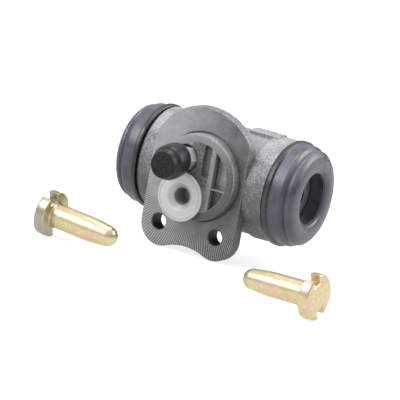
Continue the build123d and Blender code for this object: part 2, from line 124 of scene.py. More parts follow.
def add(tree, kind, inputs=None, **settings):
    """A node with its settings and inputs."""
    made = tree.nodes.new(kind)
    for key, value in settings.items():
        setattr(made, key, value)
    for key, value in (inputs or {}).items():
        wire(tree, made.inputs[key], value)
    return made


def calc(tree, operation, *values):
    """The result of one Math node."""
    return add(tree, "ShaderNodeMath", dict(enumerate(values)), operation=operation).outputs[0]


def weighted(tree, *terms, start=0.0):
    """The start plus each value times its weight."""
    total = start
    for value, weight in terms:
        total = calc(tree, "MULTIPLY_ADD", value, weight, total)
    return total


def both(tree, first, *others):
    """The product of masks."""
    for other in others:
        first = calc(tree, "MULTIPLY", first, other)
    return first


def either(tree, first, *others):
    """The largest of masks."""
    for other in others:
        first = calc(tree, "MAXIMUM", first, other)
    return first


def outside_of(tree, mask):
    """1 where a mask is 0, and 0 where it is 1."""
    return calc(tree, "SUBTRACT", 1.0, mask)


def below(tree, value, limit):
    """1 where value is below limit, else 0."""
    return calc(tree, "LESS_THAN", value, limit)


def above(tree, value, limit):
    """1 where value is above limit, else 0."""
    return calc(tree, "GREATER_THAN", value, limit)


def off(tree, value, middle):
    """How far value lies from middle, to either side."""
    return calc(tree, "ABSOLUTE", calc(tree, "SUBTRACT", value, middle))


def radius_from(tree, u, v, centre):
    """Distance of (u, v) from centre: the root of the sum of squares."""
    du = calc(tree, "SUBTRACT", u, centre[0])
    dv = calc(tree, "SUBTRACT", v, centre[1])
    return calc(tree, "SQRT", weighted(tree, (du, du), (dv, dv)))


def ramp(tree, value, low, high):
    """0 below low, 1 above high, and a smooth step between. With low above high it falls."""
    made = add(tree, "ShaderNodeMapRange", {"Value": value, "From Min": low, "From Max": high},
               interpolation_type="SMOOTHSTEP")
    return made.outputs[0]


def mixed(tree, factor, a, b):
    """Colour a where factor is 0 and colour b where it is 1."""
    made = add(tree, "ShaderNodeMix", data_type="RGBA")
    wire(tree, made.inputs[MIX_FACTOR], factor)
    wire(tree, made.inputs[MIX_A], a)
    wire(tree, made.inputs[MIX_B], b)
    return made.outputs[MIX_RESULT]


def millimetres(tree):
    """The point on the piece in millimetres."""
    place = add(tree, "ShaderNodeTexCoord").outputs["Object"]
    return add(tree, "ShaderNodeVectorMath", {0: place, "Scale": 1000.0}, operation="SCALE").outputs[0]


def parts_of(tree, place):
    """The x, y and z of a point."""
    return add(tree, "ShaderNodeSeparateXYZ", {0: place}).outputs


def noise(tree, vector, scale, detail=3.0, roughness=0.55):
    """Noise from 0 to 1, with scale features to the millimetre."""
    made = add(tree, "ShaderNodeTexNoise",
               {"Vector": vector, "Scale": scale, "Detail": detail, "Roughness": roughness})
    return made.outputs[0]


def drawn_noise(tree, detail, *stretched):
    """Noise over up to three values, each one with its own number of features to its unit."""
    axes = {axis: calc(tree, "MULTIPLY", value, scale) for axis, (value, scale) in enumerate(stretched)}
    return noise(tree, add(tree, "ShaderNodeCombineXYZ", axes).outputs[0], 1.0, detail)


def bumped(tree, height, strength, distance, rounding=None):
    """The normal tipped by a height, over edges that look rounded by a radius in metres."""
    inputs = {"Height": height, "Strength": strength, "Distance": distance}
    if rounding:
        inputs["Normal"] = add(tree, "ShaderNodeBevel", {"Radius": rounding}, samples=6).outputs[0]
    return add(tree, "ShaderNodeBump", inputs).outputs[0]


def surfaced(material, inputs):
    """The material with a surface of these inputs."""
    tree = material.node_tree
    shader = add(tree, "ShaderNodeBsdfPrincipled", inputs)
    tree.links.new(shader.outputs[0], tree.nodes["Material Output"].inputs[0])
    return material


def dress(piece, material):
    """One material over the whole piece."""
    piece.data.materials.clear()
    piece.data.materials.append(material)


def chatter_marks(tree, place, angle, from_pilot, z, faced):
    """Ripples round the flange, sin(n angle + drift), that grow towards its edge and its ears."""
    drift = calc(tree, "MULTIPLY", noise(tree, place, 0.12, 1.0), 3.0)
    wave = calc(tree, "SINE", weighted(tree, (angle, CHATTER_MARKS), start=drift))
    towards_ears = calc(tree, "ADD", 0.25, ramp(tree, z, *CHATTER_HEIGHT))
    return both(tree, wave, ramp(tree, from_pilot, *CHATTER_RADIUS), faced, towards_ears)


def recess_colour(tree, x, y, z, speckle):
    """The unmachined floor inside the pilot: pockets darker than the ribs by painted shade that grows
    with depth, and a darker floor by the hexagon that painted light lifts where it lies deeper.
    """
    sand = ramp(tree, speckle, 0.4, 0.62)
    # Painted shade: the pocket floors darken with depth below the ribs.
    raised = weighted(tree, (ramp(tree, y, *RIB_HEIGHT), 0.45), (sand, 0.55))
    floor = mixed(tree, raised, RECESS_DARK, RECESS_LIGHT)
    # The floor by the hexagon is darker, and painted light lifts it where it lies deeper.
    hexagon_floor_tone = weighted(tree, (ramp(tree, y, *POCKET_HEIGHT), 0.5), start=sand)
    by_hexagon = both(tree, ramp(tree, x, *HEXAGON_FLOOR_LEFT), ramp(tree, x, *HEXAGON_FLOOR_RIGHT),
                      ramp(tree, z, *HEXAGON_FLOOR_FOOT))
    return mixed(tree, by_hexagon, floor, mixed(tree, hexagon_floor_tone, HEXAGON_FLOOR_DARK, HEXAGON_FLOOR_LIGHT))


def rim_colour(tree, x, z, from_pilot, speckle):
    """The turned rim of the pilot, with painted light that makes it lighter up and to the left, and cast
    skin along its inside.
    """
    unturned = both(tree, ramp(tree, from_pilot, *RIM_SKIN), calc(tree, "SUBTRACT", speckle, 0.5), 3.0)
    painted_light_side = ramp(tree, calc(tree, "SUBTRACT", z, x), *RIM_LIT)
    return mixed(tree, calc(tree, "ADD", painted_light_side, unturned), RIM_DARK, RIM_LIGHT)


def port_colour(tree, from_port, boss):
    """The bright boss with painted shade as a thin dark line at the chamfer near its edge, and the
    duller cone of its mouth.
    """
    chamfer_shade_line = both(tree, above(tree, from_port, PORT_RING[0]), below(tree, from_port, PORT_RING[1]),
                boss, 0.35)
    top = mixed(tree, chamfer_shade_line, BRIGHT_IRON, CAST_DARK)
    return mixed(tree, ramp(tree, from_port, *PORT_MOUTH), top, PORT_CONE_GREY)


def cast_iron():
    """Sand-grained iron with its faced flange, turned pilot rim, bright port boss and drilled holes
    told apart by their places."""
    material = new_material("cast_iron")
    tree = material.node_tree
    place = millimetres(tree)
    x, y, z = parts_of(tree, place)
    from_pilot = radius_from(tree, x, z, (0.0, 0.0))
    from_port = radius_from(tree, x, z, PORT)
    from_ear = radius_from(tree, off(tree, x, EAR_MIDDLE), z, EAR_HOLE)
    angle = calc(tree, "ARCTAN2", z, x)

    faced = below(tree, off(tree, y, 0.0), FACE_DEPTH)
    boss = both(tree, below(tree, y, PORT_BOSS_FRONT), below(tree, from_port, PORT_BOSS_RADIUS))
    cone = both(tree, below(tree, from_port, PORT_CONE_RADIUS), below(tree, y, PORT_CONE_END))
    bright = either(tree, boss, cone)
    dull = outside_of(tree, bright)
    rim = both(tree, below(tree, y, PILOT_FRONT), above(tree, from_pilot, RIM_INSIDE), dull)
    recess = both(tree, below(tree, y, RECESS_FRONT), below(tree, from_pilot, RIM_INSIDE), dull)
    drilled = both(tree, below(tree, from_ear, EAR_HOLE_RADIUS), above(tree, y, EAR_HOLE_START))
    port_hole = both(tree, below(tree, from_port, PORT_HOLE_RADIUS), above(tree, y, PORT_HOLE_DEPTH[0]),
                     below(tree, y, PORT_HOLE_DEPTH[1]))
    left_end = ramp(tree, calc(tree, "SUBTRACT", BORE[0], x), *LEFT_COLLAR_END)

    patch = noise(tree, place, PATCH_GRAIN, 2.0)
    speckle = weighted(tree, (noise(tree, place, SAND_GRAIN, 4.0, 0.62), 0.45),
                       (noise(tree, place, PIT_GRAIN, 2.0, 0.6), 0.55))
    # Painted shade: the cast iron gets darker towards the bottom.
    low_painted_shade = ramp(tree, z, *LOW_PAINTED_SHADE_HEIGHT)
    # Painted shade: the flange's flank, between its face and its back, is darker.
    flange_flank_shade = both(tree, ramp(tree, y, *FLANGE_FRONT), ramp(tree, y, *FLANGE_BACK))
    cast_tone = weighted(tree, (patch, 1.0), (low_painted_shade, -0.5), (flange_flank_shade, -0.3), start=-0.35)
    cast_tone = calc(tree, "ADD", ramp(tree, speckle, 0.36, 0.66), cast_tone)
    chatter = chatter_marks(tree, place, angle, from_pilot, z, faced)
    radial = drawn_noise(tree, 3.0, (angle, 34.0), (from_pilot, 0.5))
    rings = drawn_noise(tree, 3.0, (angle, 5.0), (from_pilot, 2.4))
    # Painted light: the faced flange is lighter towards the left, the side the light comes from.
    faced_tone = weighted(tree, (chatter, 0.42), (radial, 0.225), (rings, 0.275),
                          (ramp(tree, x, *FACED_PAINTED_LIGHT), 0.66), (patch, 0.5), start=-0.345)

    colour = mixed(tree, faced, mixed(tree, cast_tone, CAST_DARK, CAST_LIGHT),
                   mixed(tree, faced_tone, FACED_DARK, FACED_LIGHT))
    colour = mixed(tree, recess, colour, recess_colour(tree, x, y, z, speckle))
    colour = mixed(tree, rim, colour, rim_colour(tree, x, z, from_pilot, speckle))
    colour = mixed(tree, bright, colour, port_colour(tree, from_port, boss))
    hole_colour = mixed(tree, ramp(tree, y, *PORT_HOLE_SHADE), PORT_HOLE_NEAR, PORT_HOLE_FAR)
    colour = mixed(tree, port_hole, colour, hole_colour)
    # Painted shade: the ear holes' walls and the end beyond the left collar, in the gap under the boot,
    # are black.
    colour = mixed(tree, either(tree, drilled, left_end), colour, PAINTED_SHADE_BLACK)

    machined = either(tree, faced, bright, rim)
    skin = both(tree, speckle, weighted(tree, (machined, -0.88), start=1.0))
    height = weighted(tree, (chatter, 0.3), start=skin)
    return surfaced(material, {
        "Base Color": colour,
        "Metallic": 0.4,
        "Roughness": weighted(tree, (machined, -0.12), start=0.56),
        "Normal": bumped(tree, height, 0.9, 0.0003, EDGE_ROUNDING),
    })


dress(nodes["cylinder_body"], cast_iron())


# Pistons and expanders
# Turned alloy pistons with a plain socket for the push pin, and pressed brass expanders behind
# the seals. Both keep their solids' shapes and get the marks of the lathe and the press.

SOCKET_RADIUS = 5.4
PISTON_ALLOY = (0.58, 0.59, 0.61, 1.0)
SHEET_BRASS = (0.72, 0.56, 0.30, 1.0)
METAL_SHADE = 0.72


def shaded(colour, share):
    """A colour with each of its parts times a share."""
    return tuple(share * part for part in colour[:3]) + (1.0,)


def turned_metal(name, colour, roughness, pitch, socket=0.0):
    """Metal with fine lathe rings along the bore, and its socket of that radius along the axis painted
    black as shade.
    """
    material = new_material(name)
    tree = material.node_tree
    place = millimetres(tree)
    x, y, z = parts_of(tree, place)
    ring = drawn_noise(tree, 2.0, (x, pitch))
    tone = weighted(tree, (ring, 0.5), (noise(tree, place, 0.25), 0.5))
    metal = mixed(tree, ramp(tree, tone, 0.35, 0.65), shaded(colour, METAL_SHADE), colour)
    # Painted shade: the socket is black.
    in_socket = below(tree, radius_from(tree, y, z, BORE[1:]), socket)
    return surfaced(material, {
        "Base Color": mixed(tree, in_socket, metal, PAINTED_SHADE_BLACK),
        "Metallic": 0.9,
        "Roughness": roughness,
        "Normal": bumped(tree, ring, 0.3, 0.00008),
    })


piston_finish = turned_metal("piston_alloy", PISTON_ALLOY, 0.42, 6.0, SOCKET_RADIUS)
brass_finish = turned_metal("expander_brass", SHEET_BRASS, 0.3, 1.0)
for side in ("left", "right"):
    dress(nodes["piston_" + side], piston_finish)
    dress(nodes["expander_" + side], brass_finish)


# Dust boots
# Moulded rubber boots. The outer shell, from the bead in the collar's groove to the front lip,
# stays with the housing, and the funnel inside the mouth reaches in to the piston that it grips.

BOOT_BLUE_GREY = (0.044, 0.048, 0.067, 1.0)
BOOT_DUST_AND_TOP_LIGHT = (0.12, 0.127, 0.157, 1.0)
BOOT_BLACK = (0.010, 0.010, 0.012, 1.0)
RUBBER_BLOOM, RUBBER_SHADE = 1.6, 0.62
LEFT_REACH = 1.8
LEFT_SHELL_REACH = 0.4
RIGHT_LEAN = 0.055
MOULD_MARK = (37.5, 26.7, 10.5)
MOULD_MARK_RADIUS = 2.8
MOULD_MARK_WIDTH = (0.42, 0.16)
MOULD_MARK_BUMP = -5.0
DUST_AND_TOP_LIGHT_HEIGHT = (-2.0, 17.0)
BEAD_BACK = 27.6
BEAD_PAINTED_SHADE_SPAN = (30.3, 29.9)
LEAN_SPAN = (30.4, 33.0)
FUNNEL_SPAN = (30.5, 36.7)
SHELL_FIXED = [(29.5, 16.7), (27.6, 16.7), (27.6, 20.2), (29.9, 20.25), (30.15, 19.4), (30.5, 19.35)]
SHELL_MOVED = [(32.4, 19.35), (33.9, 19.3), (34.8, 18.3), (35.2, 17.6), (35.8, 18.05), (36.8, 18.2),
               (38.5, 16.6), (39.0, 13.6), (38.8, 10.9), (37.6, 9.55), (36.0, 9.7), (35.4, 11.6),
               (34.6, 14.0), (33.9, 16.0), (33.6, 16.7)]
SHELL_INSIDE = [(33.3, 17.3), (32.9, 16.7), (31.4, 16.7), (31.4, 15.5), (29.5, 15.5)]
SHELL_BLENDS = [0.1, 0.1, 0.9, 0.3, 0.12, 0.12, 0.8, 0.5, 0.4, 0.3, 0.3, 0.5, 1.1, 1.3, 1.3, 0.8, 0.5,
                0.8, 0.9, 0.6, 0.25, 0.1, 0.1, 0.1, 0.1, 0.1]
FUNNEL = [(37.9, 10.3), (37.1, 9.9), (32.4, 9.85), (29.7, 9.85), (29.7, 8.2), (28.1, 8.2),
          (28.1, 10.2), (29.5, 11.3), (33.1, 11.3), (36.7, 11.0)]
FUNNEL_BLENDS = [0.3, 0.3, 0.6, 0.1, 0.2, 0.3, 0.5, 0.6, 0.6, 0.3]


def rubber(name, colour, roughness, graininess, boot=False):
    """Satin rubber with a soft bloom and fine mould grain. A boot is also lighter on top, with dust and
    painted light, and has a mould's ring mark and a bead painted dark as shade in the collar's groove."""
    material = new_material(name)
    tree = material.node_tree
    place = millimetres(tree)
    grain = noise(tree, place, 2.6, 2.0)
    tone = weighted(tree, (noise(tree, place, 0.14), 0.7), (grain, 0.3))
    finish = mixed(tree, ramp(tree, tone, 0.35, 0.65), shaded(colour, RUBBER_SHADE),
                   shaded(colour, RUBBER_BLOOM))
    if boot:
        parts = parts_of(tree, place)
        x, z = parts[0], parts[2]
        from_mark = add(tree, "ShaderNodeVectorMath", {0: place, 1: MOULD_MARK}, operation="DISTANCE")
        mark = ramp(tree, off(tree, from_mark.outputs["Value"], MOULD_MARK_RADIUS), *MOULD_MARK_WIDTH)
        grain = weighted(tree, (mark, MOULD_MARK_BUMP), start=grain)
        # Dust and painted light: the boot is lighter on top, in patches.
        dust_and_top_light = both(tree, ramp(tree, z, *DUST_AND_TOP_LIGHT_HEIGHT), ramp(tree, tone, 0.25, 0.6), 0.55)
        finish = mixed(tree, dust_and_top_light, finish, BOOT_DUST_AND_TOP_LIGHT)
        finish = mixed(tree, calc(tree, "MULTIPLY", mark, 0.9), finish, BOOT_BLACK)
        # Painted shade: the bead in the collar's groove is black.
        finish = mixed(tree, ramp(tree, off(tree, x, BORE[0]), *BEAD_PAINTED_SHADE_SPAN), finish, BOOT_BLACK)
    return surfaced(material, {
        "Base Color": finish,
        "Roughness": weighted(tree, (ramp(tree, tone, 0.4, 0.6), 0.14), start=roughness),
        "Specular IOR Level": 0.75,
        "Normal": bumped(tree, grain, graininess, 0.00012),
    })


def softened(corners, blends, steps=6):
    """A closed outline whose corners are parabolic blends. Each corner P, with unit steps a and b
    towards its neighbours and blend t, becomes (1-s)^2 (P + a t) + 2 s (1-s) P + s^2 (P + b t)."""
    points = np.array(corners, float)
    reach = np.array(blends, float)[:, None]
    to_last = np.roll(points, 1, 0) - points
    to_next = np.roll(points, -1, 0) - points
    a = to_last / np.linalg.norm(to_last, axis=1)[:, None]
    b = to_next / np.linalg.norm(to_next, axis=1)[:, None]
    s = np.linspace(0.0, 1.0, steps)[None, :, None]
    first, middle, last = (points + a * reach)[:, None], points[:, None], (points + b * reach)[:, None]
    return ((1 - s) ** 2 * first + 2 * s * (1 - s) * middle + s**2 * last).reshape(-1, 2)


def whole_turn(count):
    """Count angles round a circle, in a row."""
    return np.linspace(0.0, 2 * math.pi, count, endpoint=False)[None, :]


def share_of(value, low, high):
    """0 below low, 1 above high, and a straight rise between."""
    return np.clip((value - low) / (high - low), 0.0, 1.0)


def grid_mesh(name, grid, wrap_rows=True):
    """Quads between neighbouring points of a grid of rows and columns in mm. Columns close on
    themselves, rows do if wrap_rows, and points that coincide are merged."""
    rows, columns = grid.shape[:2]
    index = np.arange(rows * columns).reshape(rows, columns)
    after = np.roll(index, -1, 0)
    if not wrap_rows:
        index, after = index[:-1], after[:-1]
    quads = np.stack([index, np.roll(index, -1, 1), np.roll(after, -1, 1), after], -1).reshape(-1, 4)
    mesh = bpy.data.meshes.new(name)
    mesh.from_pydata((grid / 1000).reshape(-1, 3).tolist(), [], quads.tolist())
    work = bmesh.new()
    work.from_mesh(mesh)
    bmesh.ops.remove_doubles(work, verts=work.verts, dist=1e-7)
    bmesh.ops.recalc_face_normals(work, faces=work.faces)
    work.to_mesh(mesh)
    work.free()
    mesh.polygons.foreach_set("use_smooth", np.ones(len(mesh.polygons), bool))
    piece = bpy.data.objects.new(name, mesh)
    bpy.context.scene.collection.objects.link(piece)
    return piece


def around_bore(outline, sign, lean=0.0, columns=160):
    """An outline of outward distance x and radius r, turned about the bore and leaning outwards
    towards the mounting face: (X + sign (x - lean r cos t), Y + r cos t, Z + r sin t)."""
    t = whole_turn(columns)
    x, r = outline[:, :1], outline[:, 1:]
    aside = r * np.cos(t)
    return np.stack([BORE[0] + sign * (x - lean * aside), BORE[1] + aside, BORE[2] + r * np.sin(t)], -1)


def boot_shell(side, sign, forward, lean):
    """The outer skin, its front moved forward and leaning beyond the bead."""
    fixed = [(max(x, BEAD_BACK + forward), r) for x, r in SHELL_FIXED]
    moved = [(x + forward, r) for x, r in SHELL_MOVED]
    outline = softened(fixed + moved + SHELL_INSIDE, SHELL_BLENDS)
    leaning = lean * share_of(outline[:, :1], *LEAN_SPAN)
    return grid_mesh("boot_shell_" + side, around_bore(outline, sign, leaning))


def boot_funnel(side, sign, piston_reach, forward, lean):
    """The inner skin, moved with the piston at its inner end and with the shell at its outer end."""
    outline = softened(FUNNEL, FUNNEL_BLENDS)
    to_front = share_of(outline[:, :1], *FUNNEL_SPAN)
    outline[:, :1] += piston_reach + (forward - piston_reach) * to_front
    return grid_mesh("boot_funnel_" + side, around_bore(outline, sign, lean * to_front))


boot_finish = rubber("boot_rubber", BOOT_BLUE_GREY, 0.30, 0.3, boot=True)
for side, sign, piston_reach, forward, lean in (
        ("left", -1, LEFT_REACH, LEFT_SHELL_REACH, 0.0), ("right", 1, 0.0, 0.0, RIGHT_LEAN)):
    shell = boot_shell(side, sign, forward, lean)
    funnel = boot_funnel(side, sign, piston_reach, forward, lean)
    for piece in (shell, funnel):
        dress(piece, boot_finish)
        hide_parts("boot_" + side)
    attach(shell, "housing")
    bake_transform(funnel)


# Seals
# Moulded rubber cup seals that lie against the pistons' inner ends. Each lip leans out to the
# bore's wall and opens towards the fluid in the middle.

SEAL_BLACK = (0.02, 0.02, 0.021, 1.0)
SEAL_COLUMNS = 96
SEAL = [(15.45, 0.0), (15.45, 12.1), (13.25, 12.4), (10.5, 12.62), (9.85, 12.2), (9.85, 11.6),
        (12.2, 10.9), (13.25, 9.9), (13.25, 0.0)]
SEAL_BLENDS = [0.0, 0.5, 0.6, 0.4, 0.25, 0.25, 0.6, 0.5, 0.0]

seal_finish = rubber("seal_rubber", SEAL_BLACK, 0.3, 0.15)
for side, sign, piston_reach in (("left", -1, LEFT_REACH), ("right", 1, 0.0)):
    seal_outline = softened(SEAL, SEAL_BLENDS) + [piston_reach, 0.0]
    seal_grid = around_bore(seal_outline, sign, columns=SEAL_COLUMNS)
    seal = grid_mesh("seal_" + side, seal_grid, wrap_rows=False)
    dress(seal, seal_finish)
    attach(seal, side + "_piston")
    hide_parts("cup_" + side)


# Return spring
# One open coil of hard-drawn steel wire, wound round and seated between the expanders. It is made
# in two halves here, one on each side of the middle.

COIL_RADIUS = 6.4
WIRE_RADIUS = 0.6
COIL_TURNS = 3.25
COIL_HALF = 13.38
COIL_MIDDLE = -1.8
COIL_ROWS, WIRE_COLUMNS = 160, 14
WIRE_GREY = (0.42, 0.42, 0.43, 1.0)


def coil_half(name, sign):
    """Round wire on a helix: the helix point (p, R cos a, R sin a), plus the wire's radius times
    cos b along the radius and sin b along the bore, and a closed cap at each end."""
    turn = np.linspace(0.0, 1.0, COIL_ROWS)[:, None]
    a = 2 * math.pi * COIL_TURNS * turn
    b = whole_turn(WIRE_COLUMNS)
    r = COIL_RADIUS + WIRE_RADIUS * np.cos(b)
    p = (COIL_HALF - WIRE_RADIUS) * turn + WIRE_RADIUS * np.sin(b)
    grid = np.stack([sign * p, r * np.cos(a), sign * r * np.sin(a)], -1)
    first, last = grid[:1].mean(1, keepdims=True), grid[-1:].mean(1, keepdims=True)
    grid = np.concatenate([np.repeat(first, WIRE_COLUMNS, 1), grid, np.repeat(last, WIRE_COLUMNS, 1)], 0)
    return grid_mesh(name, grid + [COIL_MIDDLE, BORE[1], BORE[2]], wrap_rows=False)


wire_finish = turned_metal("spring_wire", WIRE_GREY, 0.32, 0.4)
for side, sign in (("left", -1), ("right", 1)):
    coil = coil_half("return_spring_" + side, sign)
    dress(coil, wire_finish)
    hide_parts("return_spring")
    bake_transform(coil)


# Bleed screw
# Turned steel screw with a milled 8 mm hexagon, a neck and a nipple that the cap covers. It is
# plated in bright zinc and screwed into its boss above the port.

ZINC_DULL = (0.72, 0.72, 0.72, 1.0)
ZINC_BRIGHT = (0.92, 0.92, 0.9, 1.0)
HEXAGON_ROUNDING = 0.0004


def bright_zinc():
    """Bright plating with faint clouding."""
    material = new_material("bright_zinc")
    tree = material.node_tree
    cloud = noise(tree, millimetres(tree), 0.6)
    return surfaced(material, {
        "Base Color": mixed(tree, cloud, ZINC_DULL, ZINC_BRIGHT),
        "Metallic": 0.3,
        "Roughness": 0.3,
        "Normal": bumped(tree, cloud, 0.2, 0.0001, HEXAGON_ROUNDING),
    })


dress(nodes["bleeder_screw"], bright_zinc())


# Bleeder cap
# Moulded black rubber cap with a stepped outside, pushed over the nipple by hand. Its sides are
# satin and its flat front is matt and speckled. It droops a little towards its free end.

BLEEDER = (-5.6, 6.1)
CAP_DROOP = 1.4
CAP_DROOP_SPAN = (11.0, 20.5)
CAP_WALL_MIDDLE = 3.4
CAP_ROOF_MIDDLE = 19.5
CAP_FRONT_SPAN = (-19.9, -20.35)
CAP_COLUMNS = 96
CAP = [(19.1, 0.0), (19.1, 3.27), (10.2, 3.27), (10.2, 6.2), (12.6, 6.65), (17.3, 6.55), (18.5, 5.5),
       (20.5, 5.0), (20.5, 0.0)]
CAP_BLENDS = [0.0, 0.3, 0.3, 0.5, 1.5, 0.9, 0.5, 0.35, 0.0]
CAP_SIDE_DARK = (0.007, 0.007, 0.009, 1.0)
CAP_SIDE_LIGHT = (0.020, 0.021, 0.026, 1.0)
CAP_FRONT_DARK = (0.003, 0.003, 0.004, 1.0)
CAP_FRONT_SPECK = (0.045, 0.045, 0.05, 1.0)


def around_bleeder(outline):
    """An outline of distance d in front of the mounting face and radius r, turned about the screw:
    (X + r cos t, -d, Z + r sin t), with its outer surface drooping towards the free end."""
    t = whole_turn(CAP_COLUMNS)
    d, r = outline[:, :1], outline[:, 1:]
    outer = np.maximum(r > CAP_WALL_MIDDLE, d > CAP_ROOF_MIDDLE)
    droop = CAP_DROOP * outer * share_of(d, *CAP_DROOP_SPAN)
    return np.stack([BLEEDER[0] + r * np.cos(t), -d + 0 * t, BLEEDER[1] + r * np.sin(t) - droop], -1)


def cap_rubber():
    """Black rubber, darker and grainy on the flat front."""
    material = new_material("cap_rubber")
    tree = material.node_tree
    place = millimetres(tree)
    y = parts_of(tree, place)[1]
    front = ramp(tree, y, *CAP_FRONT_SPAN)
    specks = ramp(tree, noise(tree, place, 3.2, 1.0), 0.6, 0.7)
    side_tone = mixed(tree, noise(tree, place, 0.3), CAP_SIDE_DARK, CAP_SIDE_LIGHT)
    front_tone = mixed(tree, specks, CAP_FRONT_DARK, CAP_FRONT_SPECK)
    grain = both(tree, noise(tree, place, 2.4), calc(tree, "ADD", 0.15, front))
    return surfaced(material, {
        "Base Color": mixed(tree, front, side_tone, front_tone),
        "Roughness": weighted(tree, (front, 0.35), start=0.36),
        "Specular IOR Level": 0.38,
        "Normal": bumped(tree, grain, 0.6, 0.0002),
    })


cap = grid_mesh("dust_cap", around_bleeder(softened(CAP, CAP_BLENDS)), wrap_rows=False)
dress(cap, cap_rubber())
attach(cap, "bleeder_dust_cap")
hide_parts("bleeder_cap")


# Push pins
# Turned steel pins with two notches across the head for the shoe, plated in yellow zinc that
# shows green and pink bloom. Both lie loose on the ground.

PIN_PLACES = (("left", -43.7, -33.3, 1, 4.7), ("right", 79.1, -39.9, -1, 0.9))
PIN_FLOOR = -30.1
HEAD_RADIUS = 8.5
HEAD_RIM = [(0.0, 0.45), (0.06, 0.22), (0.22, 0.06), (0.45, 0.0), (2.1, 0.0), (3.75, 0.0), (3.98, 0.06),
            (4.14, 0.22), (4.2, 0.45)]
HEAD_FACE = [(0.0, 0.0), (0.0, 4.4), (0.0, 4.5)]
NOTCH_FLOOR = 5.2
NOTCH_HALF = 2.0
NOTCH_TURN = 27.0
SHANK_RADIUS = 4.65
SHANK = [(4.2, 4.9), (4.27, 4.77), (4.45, SHANK_RADIUS), (5.2, SHANK_RADIUS), (11.0, SHANK_RADIUS)]
TAPER_START, TAPER_END, TAPER_DROP = 17.0, 27.7, 0.75
TIP_RADIUS = 3.9
FLOOR_POINTS, WALL_POINTS, RIM_POINTS, TAPER_POINTS, TIP_POINTS = 12, 10, 72, 9, 14
FLOOR_TURN, WALL_TURN = math.radians(27.3), math.radians(34.0)
LEFT_HEAD_RUB_AND_SHADE = (-38.8, -40.6)
RIGHT_TIP_RUB, RIGHT_TIP_START = (53.0, 48.5), (20.0, 30.0)
GREEN_GOLD = (0.58, 0.55, 0.28, 1.0)
WARM_GOLD = (0.62, 0.50, 0.29, 1.0)
PINK_GOLD = (0.66, 0.45, 0.35, 1.0)
PALE_GOLD = (0.68, 0.63, 0.50, 1.0)
BROWN_STAIN = (0.22, 0.19, 0.13, 1.0)
RUBBED_STEEL_AND_SHADE = (0.33, 0.315, 0.28, 1.0)


def yellow_zinc():
    """Gold plating with drifting green and pink bloom and small stains, rubbed to a darker steel that
    also holds painted shade on the left pin's head and the right pin's tip."""
    material = new_material("yellow_zinc")
    tree = material.node_tree
    place = millimetres(tree)
    x = parts_of(tree, place)[0]
    bloom = noise(tree, place, 0.16, 2.0)
    cloud = noise(tree, place, 0.7)
    colour = mixed(tree, ramp(tree, bloom, 0.36, 0.48), GREEN_GOLD, WARM_GOLD)
    colour = mixed(tree, ramp(tree, bloom, 0.50, 0.62), colour, PINK_GOLD)
    colour = mixed(tree, ramp(tree, cloud, 0.5, 0.75), colour, PALE_GOLD)
    stain = ramp(tree, noise(tree, place, 0.5, 4.0, 0.65), 0.62, 0.8)
    colour = mixed(tree, stain, colour, BROWN_STAIN)
    # Worn plating and painted shade: the rubbed places are a darker steel.
    left_head = both(tree, ramp(tree, x, *LEFT_HEAD_RUB_AND_SHADE), 0.85)
    right_tip = both(tree, ramp(tree, x, *RIGHT_TIP_RUB), ramp(tree, x, *RIGHT_TIP_START), 0.7)
    return surfaced(material, {
        "Base Color": mixed(tree, either(tree, left_head, right_tip), colour, RUBBED_STEEL_AND_SHADE),
        "Metallic": 0.95,
        "Roughness": 0.34,
        "Normal": bumped(tree, cloud, 0.15, 0.0001),
    })


def eased(first, last, count):
    """Count values from first to last, closer together at both ends."""
    return first + (last - first) * 0.5 * (1 - np.cos(np.linspace(0.0, math.pi, count)))


def arc(radius, t):
    """The points (r cos t, r sin t)."""
    return np.stack([radius * np.cos(t), radius * np.sin(t)], -1)


def notched_circle(inset):
    """Half of the head's outline from one notch's middle to the other's, moved inwards by inset:
    the notch's flat floor, its straight wall and then the circle (R cos t, R sin t)."""
    radius, floor, half = HEAD_RADIUS - inset, NOTCH_FLOOR - inset, NOTCH_HALF + inset
    corner = math.asin(half / radius)
    across = eased(0.0, half, FLOOR_POINTS)[:-1]
    down = eased(floor, math.sqrt(radius**2 - half**2), WALL_POINTS)[:-1]
    quarter = np.concatenate([np.stack([0 * across + floor, across], -1),
                              np.stack([down, 0 * down + half], -1)])
    return np.concatenate([quarter, arc(radius, eased(corner, math.pi - corner, RIM_POINTS)),
                           quarter[::-1] * [-1, 1]])


def plain_circle(radius):
    """Half a circle (r cos t, r sin t) with a point for each point of the notched outline, and t
    bunched so that no face between the two crosses a notch."""
    t = np.concatenate([eased(0.0, FLOOR_TURN, FLOOR_POINTS)[:-1],
                        eased(FLOOR_TURN, WALL_TURN, WALL_POINTS)[:-1]])
    t = np.concatenate([t, eased(WALL_TURN, math.pi - WALL_TURN, RIM_POINTS), math.pi - t[::-1]])
    return arc(radius, t)


